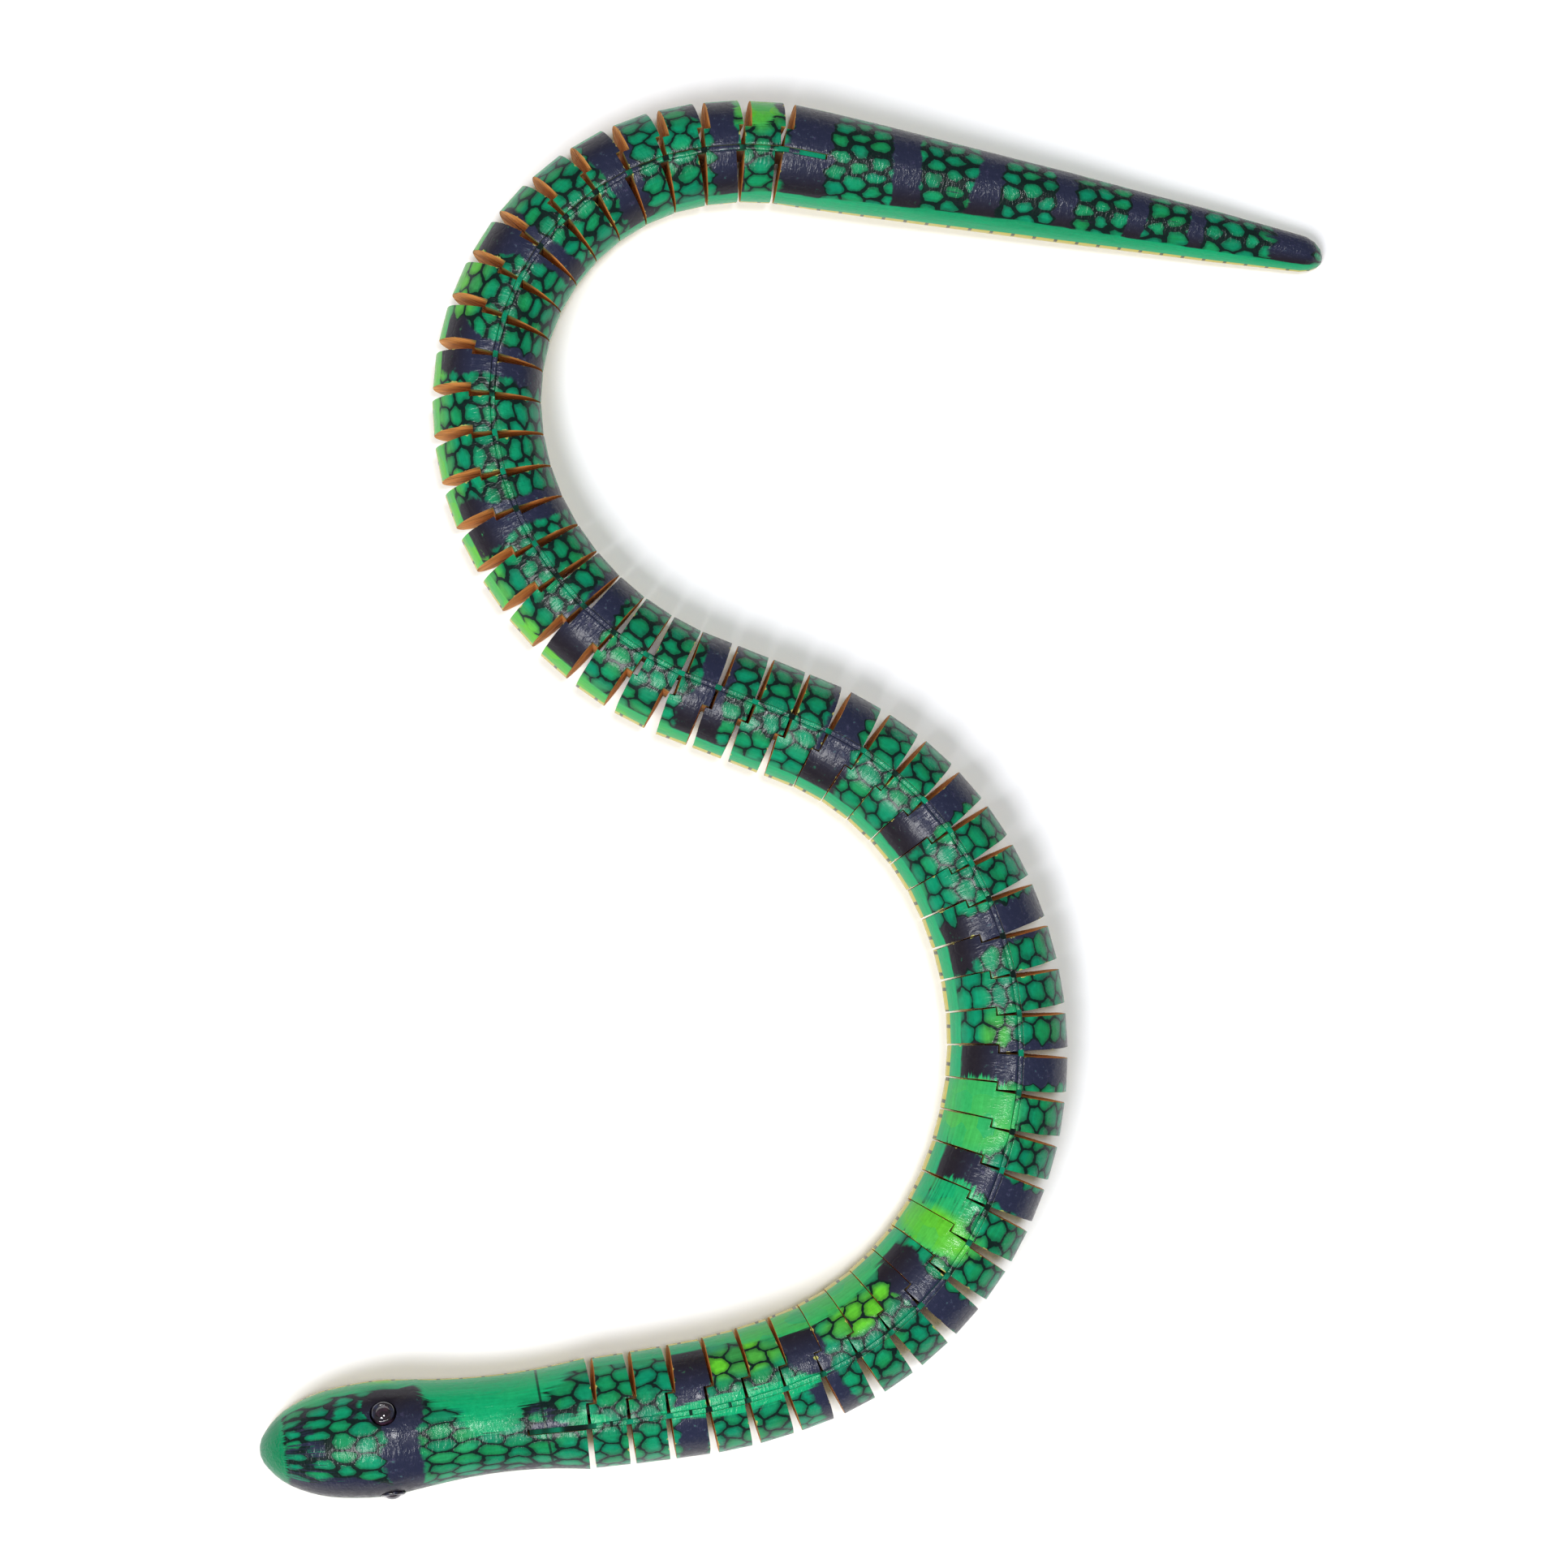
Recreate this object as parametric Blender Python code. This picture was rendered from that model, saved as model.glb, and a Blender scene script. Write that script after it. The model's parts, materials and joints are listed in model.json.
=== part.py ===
"""Jointed wooden snake: head, fifty sawn segments and a tail on one flexible strip.

The snake lies on its flat belly in an S. Every joint is a saw kerf with an upright
axis through the strip. Metres, +Z up, belly on z = 0, centred on the origin.
"""
import bmesh
import bpy
import math
from mathutils import Vector

# Chain
SEGMENT_COUNT = 50          # sawn segments between head and tail
ROOT_SEGMENT = 25           # the segment the others hang from, near the middle of the S
SEGMENT_PITCH = 0.0068      # from one kerf to the next
HEAD_LENGTH = 0.0566        # nose to first kerf, with the neck
TAIL_LENGTH = 0.0994        # last kerf to tail tip
HEAD_HEADING = 6.2          # degrees from +X, nose to neck
# Rest pose: (joints, degrees each), left-hand bends positive, head to tail
REST_BENDS = (
    (3, 0.9), (3, 3.9), (3, 7.0), (3, 7.0), (3, 5.9), (3, 6.1), (3, 5.9), (3, 7.0), (3, 7.0),
    (3, 0.3), (3, -6.8), (3, -7.0), (3, -7.9), (3, -8.7), (3, -9.1), (3, -9.2), (3, -7.5),
)

# Rod: radius at fractions of the jointed length, and its cross-section
BODY_RADII = ((0.0, 0.0095), (0.08, 0.0102), (0.28, 0.0109), (0.5, 0.0098),
              (0.62, 0.0100), (0.78, 0.0096), (1.0, 0.0089))
SECTION_SIDES = 20          # planed facets round the rod
BELLY_FACETS = 1.5          # facets planed away each side of the keel to give a flat belly

# Kerfs, each a cut from the left and a cut from the right
WIDE_CUT = 0.00155          # at the rim, on the side where the snake bends in
FINE_CUT = 0.00095          # at the rim, on the side where it bends out
LEFT_ROOT_CUT = 0.0006      # left cut at the web, where it is the wide one
TURNOVER = (0.55, 0.62)     # shares of the kerfs between which the wide cut changes side
WEB_GAP = 0.0006            # narrow break between the two cuts
WEB_LEFT = 0.0027           # the left cut stops this far from the middle
WEB_CLEARANCE = 0.0003      # room for the web's corner to swing in the left cut
LEFT_STEP = 0.000225        # headward wall of the left cut lies this far tailward of the joint axis
LEFT_LEAN = 0.04            # tailward lean of the left cut, per metre of height
CUT_MARGIN = 0.004          # tool overrun
BELLY_MARGIN = 0.0005       # tool overrun under the belly, small because the left cut leans

# Strip and its slot
STRIP_OFFSET = -0.0010      # strip and joint axes lie this far right of the middle
STRIP_THICKNESS = 0.0005
STRIP_BOTTOM = 0.0055
STRIP_HEIGHT = 0.0100
STRIP_CLEARANCE = 0.00025
NECK_SLOT = 0.0106          # strip slot length inside the neck
TAIL_SLOT = 0.0080          # strip slot length inside the tail

# Head: (fraction of length from the nose, half width, belly height, crown height)
HEAD_STATIONS = (
    (0.000, 0.0010, 0.0052, 0.0072),
    (0.008, 0.0022, 0.0044, 0.0083),
    (0.022, 0.0033, 0.0034, 0.0097),
    (0.046, 0.0048, 0.0024, 0.0114),
    (0.080, 0.0063, 0.0014, 0.0130),
    (0.143, 0.0080, 0.0005, 0.0150),
    (0.205, 0.0090, 0.0001, 0.0164),
    (0.267, 0.0095, 0.0000, 0.0173),
    (0.330, 0.0098, 0.0000, 0.0178),
    (0.392, 0.0098, 0.0000, 0.0179),
    (0.455, 0.0094, 0.0000, 0.0175),
    (0.516, 0.0090, 0.0000, 0.0169),
    (0.640, 0.0084, 0.0000, 0.0161),
    (0.765, 0.0083, 0.0000, 0.0160),
    (0.890, 0.0087, 0.0000, 0.0168),
)
HEAD_SIDES = 32
HEAD_RINGS = 26             # rings lofted through the stations

# Tail: (fraction of length from the last kerf, half width)
TAIL_STATIONS = ((0.07, 0.0087), (0.18, 0.0082), (0.33, 0.0074), (0.52, 0.0063),
                 (0.65, 0.0054), (0.80, 0.0045), (0.94, 0.0034))
TIP_STEPS = 4               # rings that round the tail tip

# Eyes: beads in drilled sockets, set on a head that is rolled a little to the right
EYE_FROM_NOSE = 0.0220
EYE_DIAMETER = 0.0040
EYE_SPREAD = 54.0           # degrees each side of the crown
HEAD_ROLL = 21.0            # degrees
EYE_SINK = 0.0012           # bead centre below the surface
SOCKET_CLEARANCE = 0.0003

GREEN = (0.02, 0.42, 0.22, 1.0)
NAVY = (0.05, 0.05, 0.09, 1.0)
CLOTH = (0.30, 0.22, 0.12, 1.0)
BLACK = (0.01, 0.01, 0.015, 1.0)

STRIP_SLOT = STRIP_THICKNESS + 2.0 * STRIP_CLEARANCE
SAW_REACH = LEFT_STEP + 1.5 * WIDE_CUT
SLOT_FLOOR = STRIP_BOTTOM - STRIP_CLEARANCE
BELLY_ANGLE = BELLY_FACETS * 2.0 * math.pi / SECTION_SIDES
BELLY_DROP = math.cos(BELLY_ANGLE)
BODY_LENGTH = SEGMENT_COUNT * SEGMENT_PITCH


def clear_scene():
    for obj in list(bpy.data.objects):
        bpy.data.objects.remove(obj, do_unlink=True)


def make_material(name, color, roughness):
    material = bpy.data.materials.new(name)
    material.use_nodes = True
    shader = material.node_tree.nodes["Principled BSDF"]
    shader.inputs["Base Color"].default_value = color
    shader.inputs["Roughness"].default_value = roughness
    material.diffuse_color = color
    return material


def interpolate(table, value):
    """Straight-line reading of a table of (value, *columns), held at its ends."""
    if value <= table[0][0]:
        return table[0][1:]
    for low, high in zip(table, table[1:]):
        if value <= high[0]:
            share = (value - low[0]) / (high[0] - low[0])
            return tuple(a + share * (b - a) for a, b in zip(low[1:], high[1:]))
    return table[-1][1:]


def body_radius(distance):
    """Rod radius at a distance behind the first kerf."""
    return interpolate(BODY_RADII, distance / BODY_LENGTH)[0]


def unit_section(sides):
    """Outline of radius 1 with a flat belly on z = 0, as (y, z) pairs."""
    points = []
    for index in range(sides):
        angle = 2.0 * math.pi * (index + 0.5) / sides
        if angle < BELLY_ANGLE - 1e-6 or angle > 2.0 * math.pi - BELLY_ANGLE + 1e-6:
            continue
        points.append((math.sin(angle), BELLY_DROP - math.cos(angle)))
    return points


def crown(radius):
    """Height of the rod's back above the floor."""
    return radius * max(z for _, z in unit_section(SECTION_SIDES))


def loft(stations):
    """Closed mesh through rings of equal point count."""
    mesh = bmesh.new()
    rings = [[mesh.verts.new(point) for point in ring] for ring in stations]
    count = len(rings[0])
    for near, far in zip(rings, rings[1:]):
        for i in range(count):
            j = (i + 1) % count
            mesh.faces.new((near[i], near[j], far[j], far[i]))
    mesh.faces.new(rings[0])
    mesh.faces.new(rings[-1])
    bmesh.ops.recalc_face_normals(mesh, faces=mesh.faces)
    return mesh


def rod_ring(x, radius):
    return [(x, radius * y, radius * z) for y, z in unit_section(SECTION_SIDES)]


def as_object(mesh, name):
    data = bpy.data.meshes.new(name)
    mesh.to_mesh(data)
    mesh.free()
    obj = bpy.data.objects.new(name, data)
    bpy.context.scene.collection.objects.link(obj)
    return obj


def prism(outline, bottom, top, lean_from):
    """Upright prism of (x, y, leans) corners; leaning corners shift tailward with height."""
    rings = []
    for z in (bottom, top):
        shift = LEFT_LEAN * (z - lean_from)
        rings.append([(x + (shift if leans else 0.0), y, z) for x, y, leans in outline])
    return loft(rings)


def apply_tool(obj, tool, operation):
    """Bake one exact Boolean into obj and remove the tool."""
    modifier = obj.modifiers.new("cut", "BOOLEAN")
    modifier.operation = operation
    modifier.solver = "EXACT"
    modifier.object = tool
    graph = bpy.context.evaluated_depsgraph_get()
    baked = bpy.data.meshes.new_from_object(obj.evaluated_get(graph))
    obj.modifiers.clear()
    old = obj.data
    obj.data = baked
    bpy.data.meshes.remove(old)
    data = tool.data
    bpy.data.objects.remove(tool, do_unlink=True)
    bpy.data.meshes.remove(data)


def cut_widths(kerf):
    """Left cut at the rim and at the web, and right cut, of a kerf counted from 0."""
    bends_left = (TURNOVER[0], WIDE_CUT, LEFT_ROOT_CUT, FINE_CUT)
    bends_right = (TURNOVER[1], FINE_CUT, FINE_CUT, WIDE_CUT)
    return interpolate((bends_left, bends_right), kerf / SEGMENT_COUNT)


def left_walls(kerf, y, radius):
    """Headward and tailward walls of the left cut, behind the kerf, at y."""
    rim, root, _ = cut_widths(kerf)
    width = root + (rim - root) * (y - WEB_LEFT) / (radius - WEB_LEFT)
    middle = LEFT_STEP + rim / 2.0
    return middle - width / 2.0, middle + width / 2.0


def front_profile(kerf, side, radius):
    """Corners of the wall tailward of a kerf, from right to left."""
    half_gap = WEB_GAP / 2.0
    return [
        (half_gap, -side, False),
        (half_gap, WEB_LEFT, False),
        (left_walls(kerf, WEB_LEFT, radius)[1], WEB_LEFT, True),
        (left_walls(kerf, side, radius)[1], side, True),
    ]


def back_profile(kerf, x, side, radius):
    """Corners of the wall headward of a kerf at x, from left to right."""
    half_gap = WEB_GAP / 2.0
    pocket = WEB_LEFT + WEB_CLEARANCE
    right_wall = x + half_gap - cut_widths(kerf)[2]
    return [
        (x + left_walls(kerf, side, radius)[0], side, True),
        (x + left_walls(kerf, pocket, radius)[0], pocket, True),
        (x - half_gap, pocket, False),
        (x - half_gap, STRIP_OFFSET, False),
        (right_wall, STRIP_OFFSET, False),
        (right_wall, -side, False),
    ]


def square_end(x, side, towards_tail):
    """Corners of a plain end beyond the wood."""
    if towards_tail:
        return [(x, side, False), (x, -side, False)]
    return [(x, -side, False), (x, side, False)]


def box(x0, x1, y0, y1, z0, z1):
    ring = [(y0, z0), (y1, z0), (y1, z1), (y0, z1)]
    return loft([[(x, y, z) for y, z in ring] for x in (x0, x1)])


def saw(obj, front, back, radius):
    """Trim a blank to the walls of its kerfs."""
    top = crown(radius) + CUT_MARGIN
    middle = radius * BELLY_DROP
    tool = as_object(prism(front + back, -BELLY_MARGIN, top, middle), "tool")
    apply_tool(obj, tool, "INTERSECT")


def cut_slot(obj, start, end, radius):
    """Saw the strip's slot down from the back."""
    low = STRIP_OFFSET - STRIP_SLOT / 2.0
    high = STRIP_OFFSET + STRIP_SLOT / 2.0
    top = crown(radius) + CUT_MARGIN
    tool = as_object(box(start, end, low, high, SLOT_FLOOR, top), "tool")
    apply_tool(obj, tool, "DIFFERENCE")


def finish(obj, name, material, origin, heading, shift):
    """Name, shade and place a piece; its mesh moves so that shift is its origin."""
    obj.name = name
    obj.data.name = name
    work = bmesh.new()
    work.from_mesh(obj.data)
    bmesh.ops.translate(work, verts=work.verts, vec=(-shift, -STRIP_OFFSET, 0.0))
    bmesh.ops.remove_doubles(work, verts=work.verts, dist=1e-7)
    bmesh.ops.dissolve_limit(work, angle_limit=1e-4, verts=work.verts, edges=work.edges)
    bmesh.ops.triangulate(work, faces=[face for face in work.faces if len(face.verts) > 4])
    bmesh.ops.recalc_face_normals(work, faces=work.faces)
    work.to_mesh(obj.data)
    work.free()
    obj.data.materials.clear()
    obj.data.materials.append(material)
    for polygon in obj.data.polygons:
        polygon.use_smooth = True
    obj.data.set_sharp_from_angle(angle=math.radians(30.0))
    obj.location = origin
    obj.rotation_euler = (0.0, 0.0, heading)
    return obj


def chain_layout():
    """Kerf positions and piece headings of the rest pose, nose at the origin."""
    bends = [math.radians(bend) for count, bend in REST_BENDS for _ in range(count)]
    bends = (bends + [0.0] * (SEGMENT_COUNT + 1))[:SEGMENT_COUNT + 1]
    headings = [math.radians(HEAD_HEADING)]
    for bend in bends:
        headings.append(headings[-1] + bend)
    point = HEAD_LENGTH * Vector((math.cos(headings[0]), math.sin(headings[0]), 0.0))
    joints = [point]
    for heading in headings[1:-1]:
        point = point + SEGMENT_PITCH * Vector((math.cos(heading), math.sin(heading), 0.0))
        joints.append(point)
    return joints, headings


def build_segment(index, joints, headings):
    """One sawn segment; index 1 follows the head."""
    near = body_radius((index - 1) * SEGMENT_PITCH)
    far = body_radius(index * SEGMENT_PITCH)
    radius = max(near, far)
    side = radius + CUT_MARGIN
    slope = (far - near) / SEGMENT_PITCH
    start = near - slope * SAW_REACH
    end = far + slope * SAW_REACH
    rings = [rod_ring(-SAW_REACH, start), rod_ring(SEGMENT_PITCH + SAW_REACH, end)]
    obj = as_object(loft(rings), "segment")
    front = front_profile(index - 1, side, radius)
    saw(obj, front, back_profile(index, SEGMENT_PITCH, side, radius), radius)
    cut_slot(obj, -CUT_MARGIN, SEGMENT_PITCH + CUT_MARGIN, radius)
    banded = index % 3 == 0
    name = f"segment_{index:02d}"
    material = make_material(f"paint_{name}", NAVY if banded else GREEN, 0.3)
    on_tail_side = index < ROOT_SEGMENT
    origin = joints[index] if on_tail_side else joints[index - 1]
    shift = SEGMENT_PITCH if on_tail_side else 0.0
    return finish(obj, name, material, origin, headings[index], shift)


def smooth_station(share):
    """Head station at a fraction of the length, on a smooth curve through the table."""
    table = HEAD_STATIONS + ((1.0, body_radius(0.0), 0.0, crown(body_radius(0.0))),)
    place = 0
    while place < len(table) - 2 and share > table[place + 1][0]:
        place += 1
    start, end = table[place], table[place + 1]
    before = table[place - 1] if place > 0 else start
    after = table[place + 2] if place + 2 < len(table) else end
    t = (share - start[0]) / (end[0] - start[0])
    result = []
    for column in range(1, 4):
        rise_in = (end[column] - before[column]) / (end[0] - before[0]) * (end[0] - start[0])
        rise_out = (after[column] - start[column]) / (after[0] - start[0]) * (end[0] - start[0])
        value = (2 * t ** 3 - 3 * t ** 2 + 1) * start[column] + (t ** 3 - 2 * t ** 2 + t) * rise_in
        value += (3 * t ** 2 - 2 * t ** 3) * end[column] + (t ** 3 - t ** 2) * rise_out
        result.append(value)
    return result[0], max(result[1], 0.0), result[2]


def head_ring(x, half_width, belly, top):
    section = unit_section(HEAD_SIDES)
    tallest = max(z for _, z in section)
    widest = max(y for y, _ in section)
    height = (top - belly) / tallest
    return [(x, half_width * y / widest, belly + height * z) for y, z in section]


def eye_place(side):
    """Bead centre and outward direction; side is +1 on the left, -1 on the right."""
    angle = math.radians(side * EYE_SPREAD - HEAD_ROLL)
    width, belly, top = smooth_station(EYE_FROM_NOSE / HEAD_LENGTH)
    half_height = (top - belly) / (1.0 + BELLY_DROP)
    middle = top - half_height
    outward = Vector((0.0, math.sin(angle), math.cos(angle)))
    surface = Vector((0.0, width * outward.y, half_height * outward.z))
    centre = Vector((EYE_FROM_NOSE - HEAD_LENGTH, 0.0, middle)) + surface
    return centre - EYE_SINK * outward, outward


def build_head(joints, headings):
    radius = body_radius(0.0)
    rings = []
    for index in range(HEAD_RINGS + 1):
        share = (index / HEAD_RINGS) ** 1.5
        width, belly, top = smooth_station(share)
        rings.append(head_ring((share - 1.0) * HEAD_LENGTH, width, belly, top))
    rings.append(head_ring(SAW_REACH, radius, 0.0, crown(radius)))
    obj = as_object(loft(rings), "head")
    widest = max(width for _, width, _, _ in HEAD_STATIONS)
    side = max(radius, widest) + CUT_MARGIN
    front = square_end(-HEAD_LENGTH - CUT_MARGIN, side, False)
    saw(obj, front, back_profile(0, 0.0, side, radius), radius)
    cut_slot(obj, -NECK_SLOT, CUT_MARGIN, radius)
    for eye in (1, -1):
        centre, outward = eye_place(eye)
        depth = EYE_DIAMETER / 2.0 + SOCKET_CLEARANCE
        apply_tool(obj, socket_tool(centre, outward, depth), "DIFFERENCE")
    material = make_material("paint_head", GREEN, 0.3)
    return finish(obj, "head", material, joints[0], headings[0], 0.0)


def socket_tool(centre, outward, depth):
    """Drill with its floor a clearance below the bead."""
    mesh = bmesh.new()
    bmesh.ops.create_cone(mesh, cap_ends=True, segments=24, radius1=depth, radius2=depth,
                          depth=2.0 * depth)
    bmesh.ops.rotate(mesh, verts=mesh.verts, matrix=outward.to_track_quat("Z", "Y").to_matrix())
    bmesh.ops.translate(mesh, verts=mesh.verts, vec=centre)
    return as_object(mesh, "tool")


def build_eye(side, name, joints, headings):
    centre, outward = eye_place(side)
    mesh = bmesh.new()
    bmesh.ops.create_uvsphere(mesh, u_segments=20, v_segments=12, radius=EYE_DIAMETER / 2.0)
    bmesh.ops.rotate(mesh, verts=mesh.verts, matrix=outward.to_track_quat("Z", "Y").to_matrix())
    bmesh.ops.translate(mesh, verts=mesh.verts, vec=centre)
    obj = as_object(mesh, name)
    material = make_material(f"bead_{name}", BLACK, 0.05)
    return finish(obj, name, material, joints[0], headings[0], 0.0)


def build_tail(joints, headings):
    radius = body_radius(BODY_LENGTH)
    rings = [rod_ring(-SAW_REACH, radius), rod_ring(0.0, radius)]
    for share, width in TAIL_STATIONS:
        rings.append(rod_ring(share * TAIL_LENGTH, width))
    last_share, last_width = TAIL_STATIONS[-1]
    tip = TAIL_LENGTH * (1.0 - last_share)
    for step in range(1, TIP_STEPS + 1):
        angle = 0.5 * math.pi * step / (TIP_STEPS + 0.6)
        x = last_share * TAIL_LENGTH + tip * math.sin(angle) / math.sin(
            0.5 * math.pi * TIP_STEPS / (TIP_STEPS + 0.6))
        rings.append(rod_ring(x, last_width * math.cos(angle)))
    obj = as_object(loft(rings), "tail")
    side = radius + CUT_MARGIN
    back = square_end(TAIL_LENGTH + CUT_MARGIN, side, True)
    saw(obj, front_profile(SEGMENT_COUNT, side, radius), back, radius)
    cut_slot(obj, -CUT_MARGIN, TAIL_SLOT, radius)
    material = make_material("paint_tail", NAVY, 0.3)
    return finish(obj, "tail", material, joints[-1], headings[-1], 0.0)


def mitre(before, after):
    """Unit sideways direction at a bend and the factor that keeps the strip's thickness."""
    middle = (before + after) / 2.0
    factor = 1.0 / math.cos((after - before) / 2.0)
    return Vector((-math.sin(middle), math.cos(middle), 0.0)), factor


def build_strip(joints, headings):
    """The one flexible strip that runs through every slot, along the joint axes."""
    first = Vector((math.cos(headings[0]), math.sin(headings[0]), 0.0))
    last = Vector((math.cos(headings[-1]), math.sin(headings[-1]), 0.0))
    path = [joints[0] - (NECK_SLOT - STRIP_CLEARANCE) * first]
    path += list(joints)
    path.append(joints[-1] + (TAIL_SLOT - STRIP_CLEARANCE) * last)
    turns = [headings[0]] + list(headings) + [headings[-1]]
    rings = []
    for index, point in enumerate(path):
        sideways, factor = mitre(turns[index], turns[index + 1])
        half = 0.5 * STRIP_THICKNESS * factor * sideways
        low = Vector((0.0, 0.0, STRIP_BOTTOM))
        high = Vector((0.0, 0.0, STRIP_BOTTOM + STRIP_HEIGHT))
        rings.append([point - half + low, point + half + low,
                      point + half + high, point - half + high])
    obj = as_object(loft(rings), "spine_strip")
    obj.data.materials.append(make_material("cloth_spine_strip", CLOTH, 0.9))
    for polygon in obj.data.polygons:
        polygon.use_smooth = True
    obj.data.set_sharp_from_angle(angle=math.radians(30.0))
    return obj


def centre_on_origin(objects):
    """Move the snake so that the middle of its outline is over the origin."""
    bpy.context.view_layer.update()
    corners = [obj.matrix_world @ vertex.co for obj in objects for vertex in obj.data.vertices]
    middle_x = (min(c.x for c in corners) + max(c.x for c in corners)) / 2.0
    middle_y = (min(c.y for c in corners) + max(c.y for c in corners)) / 2.0
    for obj in objects:
        obj.location = obj.location - Vector((middle_x, middle_y, 0.0))
    bpy.context.view_layer.update()


def main():
    clear_scene()
    joints, headings = chain_layout()
    objects = [build_head(joints, headings)]
    objects.append(build_eye(1, "left_eye", joints, headings))
    objects.append(build_eye(-1, "right_eye", joints, headings))
    for index in range(1, SEGMENT_COUNT + 1):
        objects.append(build_segment(index, joints, headings))
    objects.append(build_tail(joints, headings))
    objects.append(build_strip(joints, headings))
    centre_on_origin(objects)


main()
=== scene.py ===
import json
import math
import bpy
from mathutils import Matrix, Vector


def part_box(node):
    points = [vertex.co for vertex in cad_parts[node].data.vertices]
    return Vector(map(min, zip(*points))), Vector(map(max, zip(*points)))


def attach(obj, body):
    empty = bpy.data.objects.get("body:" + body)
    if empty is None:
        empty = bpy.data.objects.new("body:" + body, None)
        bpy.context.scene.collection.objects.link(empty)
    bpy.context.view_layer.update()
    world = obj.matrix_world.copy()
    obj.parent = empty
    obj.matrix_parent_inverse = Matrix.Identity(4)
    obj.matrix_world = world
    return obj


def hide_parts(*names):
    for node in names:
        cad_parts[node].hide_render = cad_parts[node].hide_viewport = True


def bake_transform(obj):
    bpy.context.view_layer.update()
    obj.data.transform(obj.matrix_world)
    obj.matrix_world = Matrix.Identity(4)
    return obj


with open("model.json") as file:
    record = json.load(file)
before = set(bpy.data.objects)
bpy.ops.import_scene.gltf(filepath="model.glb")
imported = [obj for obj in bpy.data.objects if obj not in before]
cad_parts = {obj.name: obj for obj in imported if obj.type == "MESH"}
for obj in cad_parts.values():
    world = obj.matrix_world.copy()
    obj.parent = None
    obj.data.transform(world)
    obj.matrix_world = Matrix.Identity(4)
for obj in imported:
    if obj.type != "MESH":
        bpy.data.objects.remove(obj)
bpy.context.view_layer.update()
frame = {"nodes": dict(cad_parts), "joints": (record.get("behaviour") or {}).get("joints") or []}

from types import SimpleNamespace
import bmesh
import bpy
from mathutils import Matrix, Vector, noise

# ---------------------------------------------------------------------------
# The table: a plain pale sheet of card, a large soft lamp at the front left, a
# small one overhead, a pale room round them, and a camera nearly straight above.

CARD_WHITE = (0.955, 0.955, 0.995, 1.0)
CARD_HALF = 1.6
CARD_BELOW = 0.0003                  # the card lies this far under the snake
ROOM_LIGHT = 0.17
CAMERA_OVER = Vector((-0.0465, -0.0220))     # the camera hangs this far left of and before the snake
CAMERA_AWAY = 0.6215
LENS = 82.0
snake_middle = Vector((-0.0037, 0.0014, 0.010))

scene = bpy.context.scene
scene.view_settings.view_transform = "Standard"
scene.view_settings.look = "None"

bm = bmesh.new()
bmesh.ops.create_grid(bm, x_segments=1, y_segments=1, size=CARD_HALF)
bmesh.ops.translate(bm, verts=bm.verts, vec=(0, 0, -CARD_BELOW))
card_mesh = bpy.data.meshes.new("table_card")
bm.to_mesh(card_mesh)
bm.free()
table_card = bpy.data.objects.new("table_card", card_mesh)
scene.collection.objects.link(table_card)
card_paint = bpy.data.materials.new("pale_card")
card_paint.use_nodes = True
card_shader = card_paint.node_tree.nodes["Principled BSDF"]
card_shader.inputs["Base Color"].default_value = CARD_WHITE
card_shader.inputs["Roughness"].default_value = 0.9
card_shader.inputs["Specular IOR Level"].default_value = 0.1
card_mesh.materials.append(card_paint)

room = bpy.data.worlds.new("pale_room")
room.use_nodes = True
room.node_tree.nodes["Background"].inputs["Color"].default_value = (1.0, 1.0, 1.0, 1.0)
room.node_tree.nodes["Background"].inputs["Strength"].default_value = ROOM_LIGHT
scene.world = room


def hang_lamp(name, place, size, power):
    """A soft lamp at place, facing the middle of the card."""
    light = bpy.data.lights.new(name, "AREA")
    light.shape = "RECTANGLE"
    light.size = size[0]
    light.size_y = size[1]
    light.energy = power
    lamp = bpy.data.objects.new(name, light)
    lamp.location = place
    lamp.rotation_euler = (-Vector(place)).to_track_quat("-Z", "Y").to_euler()
    scene.collection.objects.link(lamp)


hang_lamp("front_softbox", (-0.40, -0.46, 1.08), size=(0.50, 0.42), power=12.4)
hang_lamp("overhead_softbox", (0.06, 0.09, 1.20), size=(0.20, 0.18), power=6.0)

camera_data = bpy.data.cameras.new("camera")
camera_data.lens = LENS
camera_data.sensor_width = 36.0
camera_data.clip_start = 0.01
camera = bpy.data.objects.new("camera", camera_data)
height = math.sqrt(CAMERA_AWAY ** 2 - CAMERA_OVER.length_squared)
camera.location = snake_middle + Vector((CAMERA_OVER.x, CAMERA_OVER.y, height))
back = (camera.location - snake_middle).normalized()
right = Vector((0.0, 1.0, 0.0)).cross(back).normalized()
camera.rotation_euler = Matrix((right, back.cross(right), back)).transposed().to_euler()
scene.collection.objects.link(camera)
scene.camera = camera

# ---------------------------------------------------------------------------
# The rod before sawing: a pale red-brown dowel, planed a little flat below and
# painted while straight. Every piece carries its place on that straight rod, so
# the paint runs on across the saw cuts: along it in metres, then left and up.

PITCH = 0.0068
SEGMENTS = 50
ROD_LENGTH = PITCH * SEGMENTS
HEAD_HEADING = math.radians(6.2)
TAIL_HEADING = math.radians(-9.4)
STRIP_RIGHT = 0.0010                 # the strip and the hinges lie this far right of the middle
KEEL = 0.891                         # height of the rod's middle, in radii
FACETS = 20                          # planed facets round the solid rod
ROUNDED = math.cos(math.pi / FACETS)  # a round rod inside those facets
BODY_RADII = ((0.0, 0.0095), (0.08, 0.0102), (0.28, 0.0109), (0.5, 0.0098),
              (0.62, 0.0100), (0.78, 0.0096), (1.0, 0.0089))

hinges = [Vector(joint["pos_m"]) for joint in sorted(frame["joints"], key=lambda j: j["name"])]
body_names = ["head"] + [f"segment_{i:02d}" for i in range(1, SEGMENTS + 1)] + ["tail"]


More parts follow.
